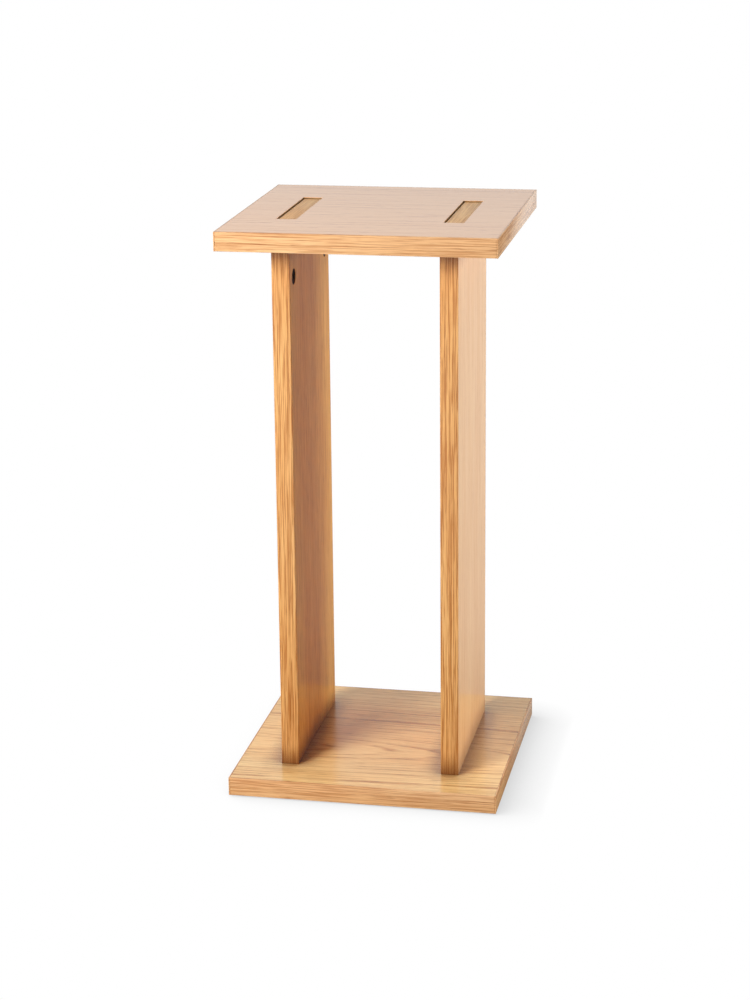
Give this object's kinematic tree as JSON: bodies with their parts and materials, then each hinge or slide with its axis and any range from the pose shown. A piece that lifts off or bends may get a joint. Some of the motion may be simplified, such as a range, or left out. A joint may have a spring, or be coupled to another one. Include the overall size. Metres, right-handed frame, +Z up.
{
  "type": "speaker stand",
  "caption": "Oak-veneered speaker stand: square top on two upright panels with through tongues, on a square base, held by cam locks.",
  "frame": {"origin": "on the floor, under the middle of the base (centre of the footprint)", "axes": "+Z up, -Y the front, X across the two legs; the legs' faces look along X"},
  "size_m": [0.26, 0.26, 0.5516],
  "materials": {
    "oak_veneer": "clear satin lacquer over oak veneer",
    "oak_edge_band": "clear satin lacquer over real-wood edging",
    "board_core": "raw pressed board",
    "cam_metal": "die-cast, blackened",
    "zinc_steel": "turned, zinc-plated",
    "beech_dowel": "turned beech, raw",
    "felt_pad": "pressed felt"
  },
  "bodies": {
    "stand": {"top_core": "board_core", "top_upper_veneer": "oak_veneer", "top_lower_veneer": "oak_veneer", "top_front_band": "oak_edge_band", "top_back_band": "oak_edge_band", "top_left_band": "oak_edge_band", "top_right_band": "oak_edge_band", "base_core": "board_core", "base_upper_veneer": "oak_veneer", "base_lower_veneer": "oak_veneer", "base_front_band": "oak_edge_band", "base_back_band": "oak_edge_band", "base_left_band": "oak_edge_band", "base_right_band": "oak_edge_band", "left_leg_core": "board_core", "left_leg_inner_veneer": "oak_veneer", "left_leg_outer_veneer": "oak_veneer", "left_leg_front_band": "oak_edge_band", "left_leg_back_band": "oak_edge_band", "left_tongue_band": "oak_edge_band", "right_leg_core": "board_core", "right_leg_inner_veneer": "oak_veneer", "right_leg_outer_veneer": "oak_veneer", "right_leg_front_band": "oak_edge_band", "right_leg_back_band": "oak_edge_band", "right_tongue_band": "oak_edge_band", "left_front_cam_bolt": "zinc_steel", "left_back_cam_bolt": "zinc_steel", "right_front_cam_bolt": "zinc_steel", "right_back_cam_bolt": "zinc_steel", "left_front_base_screw": "zinc_steel", "left_back_base_screw": "zinc_steel", "right_front_base_screw": "zinc_steel", "right_back_base_screw": "zinc_steel", "left_front_dowel": "beech_dowel", "left_back_dowel": "beech_dowel", "right_front_dowel": "beech_dowel", "right_back_dowel": "beech_dowel", "front_left_pad": "felt_pad", "front_right_pad": "felt_pad", "back_left_pad": "felt_pad", "back_right_pad": "felt_pad"},
    "left_front_lock": {"left_front_cam": "cam_metal"},
    "left_back_lock": {"left_back_cam": "cam_metal"},
    "right_front_lock": {"right_front_cam": "cam_metal"},
    "right_back_lock": {"right_back_cam": "cam_metal"}
  },
  "joints": [
    {"name": "left_front_cam_turn", "type": "hinge", "parent": "stand", "child": "left_front_lock", "pos_m": [-0.0785, -0.068, 0.4996], "axis": [1, 0, 0], "range_deg": [0, 180]},
    {"name": "left_back_cam_turn", "type": "hinge", "parent": "stand", "child": "left_back_lock", "pos_m": [-0.0785, 0.068, 0.4996], "axis": [1, 0, 0], "range_deg": [0, 180]},
    {"name": "right_front_cam_turn", "type": "hinge", "parent": "stand", "child": "right_front_lock", "pos_m": [0.0785, -0.068, 0.4996], "axis": [-1, 0, 0], "range_deg": [0, 180]},
    {"name": "right_back_cam_turn", "type": "hinge", "parent": "stand", "child": "right_back_lock", "pos_m": [0.0785, 0.068, 0.4996], "axis": [-1, 0, 0], "range_deg": [0, 180]}
  ]
}
